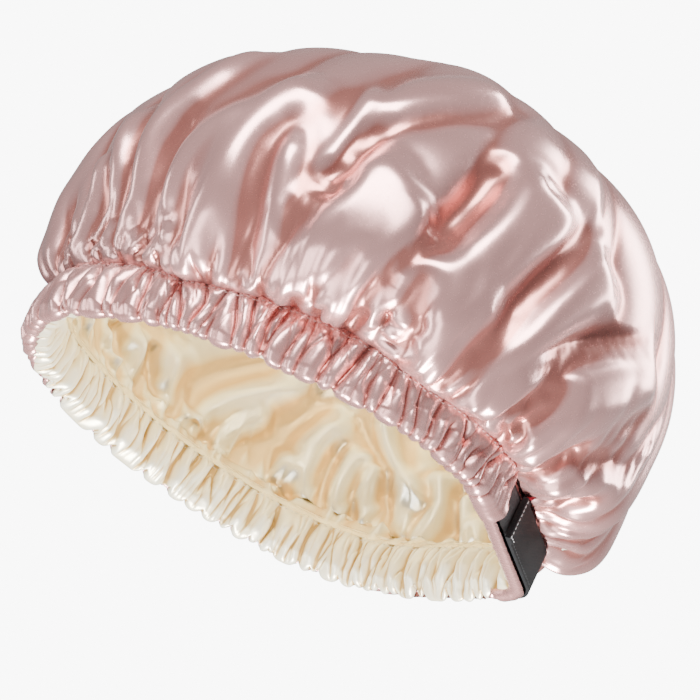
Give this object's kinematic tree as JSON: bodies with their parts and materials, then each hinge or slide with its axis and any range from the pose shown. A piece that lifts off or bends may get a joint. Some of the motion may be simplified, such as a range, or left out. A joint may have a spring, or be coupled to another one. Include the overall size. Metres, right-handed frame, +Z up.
{
  "type": "hair bonnet",
  "caption": "Reversible satin sleep bonnet: full gathered crown in rose with a champagne lining, an elastic casing round the opening and a hook-and-loop strap at the nape.",
  "frame": {"origin": "middle of the head opening on the plane of the hem, half way between the nape and the forehead", "axes": "+Z up through the crown, -Y towards the forehead, +Y towards the nape where the strap closes, +X towards the wearer's left"},
  "size_m": [0.2269, 0.2432, 0.158],
  "materials": {
    "rose_satin": "glossy satin weave",
    "champagne_satin": "glossy satin weave",
    "elastic": "knitted elastic",
    "black_webbing": "matt woven webbing",
    "hook_and_loop": "napped nylon",
    "red_ribbon": "matt ribbon"
  },
  "bodies": {
    "root": {"crown_outer": "rose_satin", "crown_lining": "champagne_satin", "casing_outer": "rose_satin", "casing_lining": "champagne_satin", "band_elastic": "elastic", "strap_base": "black_webbing"},
    "tape": {"loop_tape": "black_webbing", "loop_pile": "hook_and_loop"},
    "strap": {"strap_flap": "black_webbing", "hook_patch": "hook_and_loop", "pull_tab": "red_ribbon"}
  },
  "joints": [
    {"name": "strap_peel", "type": "hinge", "parent": "root", "child": "strap", "pos_m": [-0.0077, 0.10134, 0.0103], "axis": [0, 0, 1], "range_deg": [0, 120]},
    {"name": "tape_adjust", "type": "slide", "parent": "root", "child": "tape", "axis": [-0.866, 0.5, 0], "range_m": [0, 0.01]}
  ]
}
